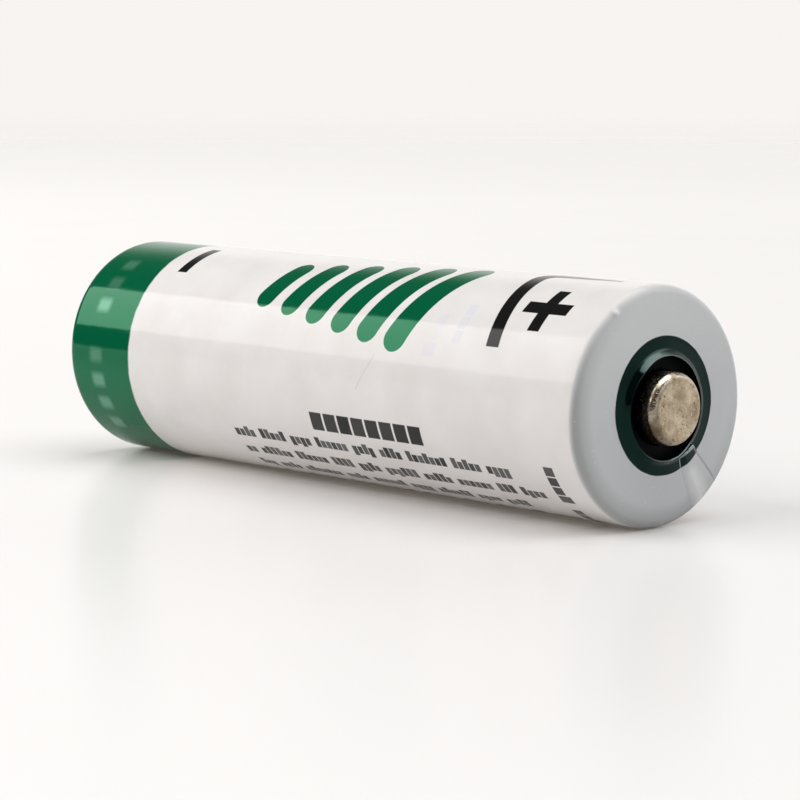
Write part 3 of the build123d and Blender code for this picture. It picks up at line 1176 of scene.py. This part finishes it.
    def pleat(self) -> bpy.types.Object:
        """Returns the doubled film of the pleat.

        A patch over angles from left to right and radii from the straight cut, at distance
        pleat_cut / cos(phi - left) from the axis, out to the shoulder. From its left fold it rises
        out of the film's end face to one wall over it, arches a little higher, steps down at its
        right fold and sinks into the film at the rim.
        """
        columns, rows = 60, 72
        phi = np.radians(np.linspace(self.pleat_left, self.pleat_right, columns))
        phi, run = np.meshgrid(phi, np.linspace(0, 1, rows))
        across = (phi - phi[:, :1]) / (phi[:, -1:] - phi[:, :1])
        cut = self.pleat_cut / np.cos(turn_from(phi, self.pleat_left))
        rim = self.radius - 0.12
        r = cut + (rim - cut) * run
        base = self.profile(r)
        dx, dr = self.relief(base, r, phi)
        lift = self.wall * np.clip(across * 3.2 - 0.12, -0.12, 0.95)
        arch = self.pleat_arch * np.sin(np.pi * across) ** 0.8
        sink = np.clip(run * 6 - 5, 0, 1)
        top = base + dx + (lift + arch) * (1 - sink) - 0.03 * sink
        under = base + dx - 0.02
        phi = phi + 0.05 * run * (0.5 - across)
        sheets = [np.stack([height, r * np.cos(phi), r * np.sin(phi)], -1) for height in (top, under)]
        points = np.concatenate([sheet.reshape(-1, 3) for sheet in sheets])
        cells = quads(rows, columns, False)
        cells = cells[cells[:, 1] % columns != 0]
        number = np.arange(rows * columns).reshape(rows, columns)
        edge = np.concatenate([number[0, :-1], number[:-1, -1], number[-1, :0:-1], number[:0:-1, 0]])
        after = np.roll(edge, -1)
        shift = rows * columns
        skirt = np.stack([edge, after, after + shift, edge + shift], 1)
        return put_mesh("film_pleat", points, [cells[:, ::-1], cells + shift, skirt])

    def build(self) -> None:
        """Builds the film and its pleat."""
        sizes = (self.radius, self.face, self.window, self.flare_start)
        place_piece(self.film(), PrintedFilm(*sizes).material(), "printed_film", "shrink_sleeve")
        sweep = self.pleat_right - self.pleat_left
        doubled = FoldedFilm(*sizes, left=self.pleat_left, sweep=sweep, cut=self.pleat_cut)
        place_piece(self.pleat(), doubled.material(), "printed_film")


@dataclass
class PositiveEnd:
    """Button terminal and the washer that it stands on."""

    cap_wall: float = 0.4
    cap_edge: float = 0.42
    washer_hole: float = 1.15
    seat_depth: float = 0.2
    seat_gap: float = 0.05
    film_gap: float = 0.02
    dent_count: int = 46
    dent_spread: float = 0.75
    turns: int = 288
    washer_turns: int = 256

    def dents(self, x: np.ndarray, r: np.ndarray, phi: np.ndarray) -> tuple[np.ndarray, np.ndarray]:
        """Returns the wear of the button's face.

        The face is dished by a hundredth, and shallow bell-shaped dents at fixed random places
        lower it, most of them round the middle. The side is a hundredth out of round.
        """
        face = np.clip((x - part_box("positive_cap")[1].x / MM + 0.05) / 0.05, 0, 1)
        rng = np.random.default_rng(14)
        dx = -0.012 * face * np.clip(1 - r / 1.6, 0, 1)
        y, z = r * np.cos(phi), r * np.sin(phi)
        for _ in range(self.dent_count):
            across, up = rng.normal(0, self.dent_spread, 2)
            width = rng.uniform(0.035, 0.12)
            dx -= face * rng.uniform(0.3, 1.0) * width * 0.16 * hump(np.hypot(y - across, z - up), 0, width)
        return dx, 0.008 * np.sin(2 * phi + 0.6) - 0.008

    def build(self) -> None:
        """Builds the cap and the washer."""
        low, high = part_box("positive_cap")
        foot, top, radius = low.x / MM, high.x / MM, high.z / MM
        skirt = radius - self.cap_wall
        cup = [
            (top - self.cap_wall, 0, 0),
            (top - self.cap_wall, skirt, 0.1),
            (foot, skirt, 0.04),
            (foot, radius, 0.06),
            (top, radius, self.cap_edge),
            (top, 0, 0),
        ]
        outline = rounded_outline(cup, 12, 0.035, False)
        cap = turned_mesh("positive_button", outline, self.turns, self.dents)
        edge = radius - self.cap_edge * 0.8
        nickel = WornNickel("terminal_nickel", foot=foot, foot_depth=top - foot - self.cap_edge, rim=edge)
        place_piece(cap, nickel.material(), "terminal_nickel", "positive_cap")
        low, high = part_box("insulating_washer")
        under, over, rim = low.x / MM, high.x / MM - self.film_gap, high.z / MM
        seat = radius + self.seat_gap
        section = [
            (under, self.washer_hole, 0.03),
            (under, rim, 0.05),
            (over, rim, 0.05),
            (over, seat, 0.06),
            (over - self.seat_depth, seat, 0.04),
            (over - self.seat_depth, self.washer_hole, 0.03),
        ]
        outline = rounded_outline(section, 6, 0.2, True)
        washer = turned_mesh("terminal_washer", outline, self.washer_turns, None, True)
        # The washer is dark polymer, made near black here as painted shade of the well under the cap.
        finish = Polymer("washer_polymer", tone(3, 9, 8), tone(1, 5, 4), 0.55, gloss=1.16)
        place_piece(washer, finish.material(), "washer_polymer", "insulating_washer")


@dataclass
class SteelCan:
    """Drawn can with its raised negative contact and the coined vent line."""

    wall: float = 0.35
    base: float = 0.5
    corner: float = 0.8
    contact: float = 4.6
    rise: float = 0.25
    slope: float = 0.15
    vent_radius: float = 3.4
    vent_width: float = 0.3
    vent_depth: float = 0.12
    vent_gap: float = 60.0
    spot_ring: float = 1.3
    spot_width: float = 0.2
    spot_depth: float = 0.03
    turns: int = 360

    def coining(self, x: np.ndarray, r: np.ndarray, phi: np.ndarray) -> tuple[np.ndarray, np.ndarray]:
        """Returns the base's relief.

        The vent line is a round-bottomed groove at the vent radius, left out over the vent gap with
        soft ends. Four spot marks lie inside it, each a shallow dip with a steep edge.
        """
        on_base = np.clip((0.08 - x) / 0.06, 0, 1)
        open_part = np.clip((np.abs(turn_from(phi, 90)) - math.radians(self.vent_gap / 2)) / 0.05, 0, 1)
        groove = np.sqrt(np.clip(1 - ((r - self.vent_radius) / (self.vent_width / 2)) ** 2, 0, 1))
        dx = self.vent_depth * on_base * open_part * groove
        y, z = r * np.cos(phi), r * np.sin(phi)
        for quarter in range(4):
            side = math.pi * (quarter / 2 + 0.2)
            away = np.hypot(y - self.spot_ring * math.cos(side), z - self.spot_ring * math.sin(side))
            spot = hump(away, 0, self.spot_width) - 0.4 * hump(away, 1.8 * self.spot_width, 0.08)
            dx += self.spot_depth * on_base * spot
        return np.maximum(dx, 0.0), np.zeros_like(dx)

    def build(self) -> None:
        """Builds the can."""
        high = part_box("can")[1]
        mouth, radius = high.x / MM, high.z / MM
        bore = radius - self.wall
        floor = self.rise + self.base
        pocket = self.contact + self.slope - self.wall
        section = [
            (0, 0, 0),
            (0, self.contact, 0.12),
            (self.rise, self.contact + self.slope, 0.1),
            (self.rise, radius, self.corner),
            (mouth, radius, 0.05),
            (mouth, bore, 0.05),
            (floor, bore, self.corner - self.wall),
            (floor, pocket, 0.1),
            (floor - self.rise, pocket - self.slope, 0.1),
            (floor - self.rise, 0, 0),
        ]
        outline = rounded_outline(section, 10, 0.06, False)
        outline = thinned(outline, 2.0, mouth - 1, 60)
        can = turned_mesh("steel_can", outline, self.turns, self.coining)
        place_piece(can, DrawnSteel("can_steel").material(), "can_steel", "can")


@dataclass
class Header:
    """Cover with its glass seal, the closed filling tube and the insulator under them."""

    finishes: dict[str, Any] = field(default_factory=lambda: {
        "cover": DrawnSteel("cover_steel", tone(198, 197, 193), tone(160, 158, 152)),
        "glass_seal": SealGlass(),
        "feedthrough_tube": DrawnSteel("tube_steel", tone(200, 198, 192), tone(158, 155, 148), 0.2),
        "closing_plug": WornNickel("plug_steel", tone(190, 184, 172), tone(140, 132, 118)),
        "sealing_ball": DrawnSteel("ball_steel", tone(222, 222, 222), tone(205, 205, 205), 0.08),
        "top_insulator": Polymer("insulator_polymer", tone(236, 236, 232), tone(222, 221, 215), 0.5),
    })

    def build(self) -> None:
        """Dresses the header's pieces."""
        for node, finish in self.finishes.items():
            wear(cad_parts[node], finish.material())


@dataclass
class ElectrodeStack:
    """Lithium foil, separators, carbon bobbin and the nickel that collects its current."""

    def build(self) -> None:
        """Dresses the stack's pieces."""
        fibre = FibreSheet().material()
        nickel = WornNickel("mesh_nickel", tone(205, 198, 184), tone(172, 163, 146), pits=0.3).material()
        finishes = {
            "lithium_anode": RolledFoil().material(),
            "separator_wrap": fibre,
            "separator_base": fibre,
            "separator_top": fibre,
            "carbon_cathode": PressedCarbon().material(),
            "current_collector": nickel,
            "collector_tab": nickel,
        }
        for node, material in finishes.items():
            wear(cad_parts[node], material)


# ---------------------------------------------------------------- studio


@dataclass(frozen=True)
class Panel:
    """One rectangular soft light."""

    name: str
    place: Triple
    aim: Triple
    width: float
    height: float
    power: float
    colour: Colour = (1.0, 1.0, 1.0)

    def build(self) -> None:
        """Hangs the light. Its width lies level."""
        lamp = bpy.data.lights.new(self.name, "AREA")
        lamp.shape = "RECTANGLE"
        lamp.size, lamp.size_y = self.width * MM, self.height * MM
        lamp.energy = self.power
        lamp.color = self.colour
        hung = bpy.data.objects.new(self.name, lamp)
        hung.location = Vector(self.place) * MM
        down = (Vector(self.aim) - Vector(self.place)).normalized()
        hung.rotation_mode = "QUATERNION"
        hung.rotation_quaternion = down.to_track_quat("-Z", "Y")
        hung.visible_camera = False
        bpy.context.scene.collection.objects.link(hung)
        log.info("light %s", self.name)


@dataclass
class Studio:
    """Table, soft lights, pale surround and camera."""

    azimuth: float = 47.4
    elevation: float = 7.12
    distance: float = 192.4
    lens: float = 134.5
    aim: Triple = (26.3, 0.0, -1.64)
    table_reach: float = 1200.0
    table_lines: int = 9
    surround: Colour = tone(247, 244, 242)
    back_light: float = 1.0
    front_light: float = 0.07
    turn_over: tuple[float, float] = (-0.15, 0.45)
    rise_over: tuple[float, float] = (0.3, 0.62)
    overhead_light: float = 1.8
    overhead_way: Triple = (-0.2, -0.15, -1.0)
    overhead_colour: Colour = (0.98, 0.99, 1.0)
    overhead_spread: float = 60.0
    key: Panel = Panel("key_softbox", (-280, -250, 240), (-280, 0, 0), 660, 290, 1.85, (1.0, 0.975, 0.95))
    rim: Panel = Panel("rim_softbox", (240, 200, 220), (50, 0, 0), 200, 200, 0.13)

    def camera(self) -> None:
        """Sets the camera at its distance from the aim, towards the azimuth and elevation."""
        turn, rise = math.radians(self.azimuth), math.radians(self.elevation)
        back = Vector((math.sin(turn) * math.cos(rise), -math.cos(turn) * math.cos(rise), math.sin(rise)))
        seen = bpy.data.cameras.new("camera")
        seen.lens = self.lens
        seen.clip_start = 0.001
        stand = bpy.data.objects.new("camera", seen)
        stand.location = (Vector(self.aim) + back * self.distance) * MM
        stand.rotation_mode = "QUATERNION"
        stand.rotation_quaternion = (-back).to_track_quat("-Z", "Y")
        bpy.context.scene.collection.objects.link(stand)
        bpy.context.scene.camera = stand

    def table(self) -> None:
        """Lays the table under the cell, a flat square grid."""
        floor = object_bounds()[0].z / MM
        count = self.table_lines
        side = np.linspace(-self.table_reach, self.table_reach, count)
        x, y = (grid.ravel() for grid in np.meshgrid(side, side))
        i, j = (grid.ravel() for grid in np.meshgrid(np.arange(count - 1), np.arange(count - 1)))
        corner = i * count + j
        cells = np.stack([corner, corner + 1, corner + count + 1, corner + count], 1)
        top = put_mesh("table", np.stack([x, y, np.full_like(x, floor)], 1), [cells])
        wear(top, TableTop().material())
        top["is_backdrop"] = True

    def surroundings(self) -> None:
        """Sets the pale surround.

        As a light it is bright low down behind the cell, on the +Y side, and dim elsewhere. The
        bright share goes smoothly from 0 to 1 as the direction's y crosses turn_over, and from 1 to 0
        as its z crosses rise_over.
        """
        world = bpy.data.worlds.new("surround")
        world.use_nodes = True
        bpy.context.scene.world = world
        tree = world.node_tree
        seen = tree.nodes["Background"]
        feed(tree, seen.inputs["Color"], self.surround)
        place = add_node(tree, "ShaderNodeTexCoord").outputs["Generated"]
        split = add_node(tree, "ShaderNodeSeparateXYZ", {}, {0: place})
        shares = []
        for axis, (low, high), (before, after) in (
            ("Y", self.turn_over, (0, 1)),
            ("Z", self.rise_over, (1, 0)),
        ):
            ends = {"From Min": low, "From Max": high, "To Min": before, "To Max": after}
            inputs = {"Value": split.outputs[axis], **ends}
            ramp = add_node(tree, "ShaderNodeMapRange", {"interpolation_type": "SMOOTHSTEP"}, inputs)
            shares.append(Value(tree, ramp.outputs[0]))
        strength = shares[0] * shares[1] * (self.back_light - self.front_light) + self.front_light
        lit = add_node(tree, "ShaderNodeBackground", {}, {"Color": self.surround, "Strength": strength})
        by_camera = add_node(tree, "ShaderNodeLightPath").outputs["Is Camera Ray"]
        shaders = {0: by_camera, 1: lit.outputs[0], 2: seen.outputs[0]}
        mixed = add_node(tree, "ShaderNodeMixShader", {}, shaders)
        feed(tree, tree.nodes["World Output"].inputs["Surface"], mixed.outputs[0])

    def overhead(self) -> None:
        """Hangs a broad even light overhead, a little behind the cell."""
        lamp = bpy.data.lights.new("overhead", "SUN")
        lamp.energy = self.overhead_light
        lamp.color = self.overhead_colour
        lamp.angle = math.radians(self.overhead_spread)
        hung = bpy.data.objects.new("overhead", lamp)
        hung.rotation_mode = "QUATERNION"
        hung.rotation_quaternion = Vector(self.overhead_way).to_track_quat("-Z", "Y")
        bpy.context.scene.collection.objects.link(hung)

    def build(self) -> None:
        """Builds the whole studio."""
        self.camera()
        self.table()
        self.surroundings()
        self.key.build()
        self.rim.build()
        self.overhead()
        bpy.context.scene.view_settings.view_transform = "Standard"


def main() -> None:
    """Builds the studio and every sub-assembly."""
    logging.basicConfig(level=logging.INFO, format="%(name)s: %(message)s")
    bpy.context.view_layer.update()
    assemblies = [Studio(), SteelCan(), ElectrodeStack(), Header(), PositiveEnd(), ShrinkSleeve()]
    for assembly in assemblies:
        assembly.build()
        log.info("%s is built", type(assembly).__name__)


if __name__ == "__main__":
    main()
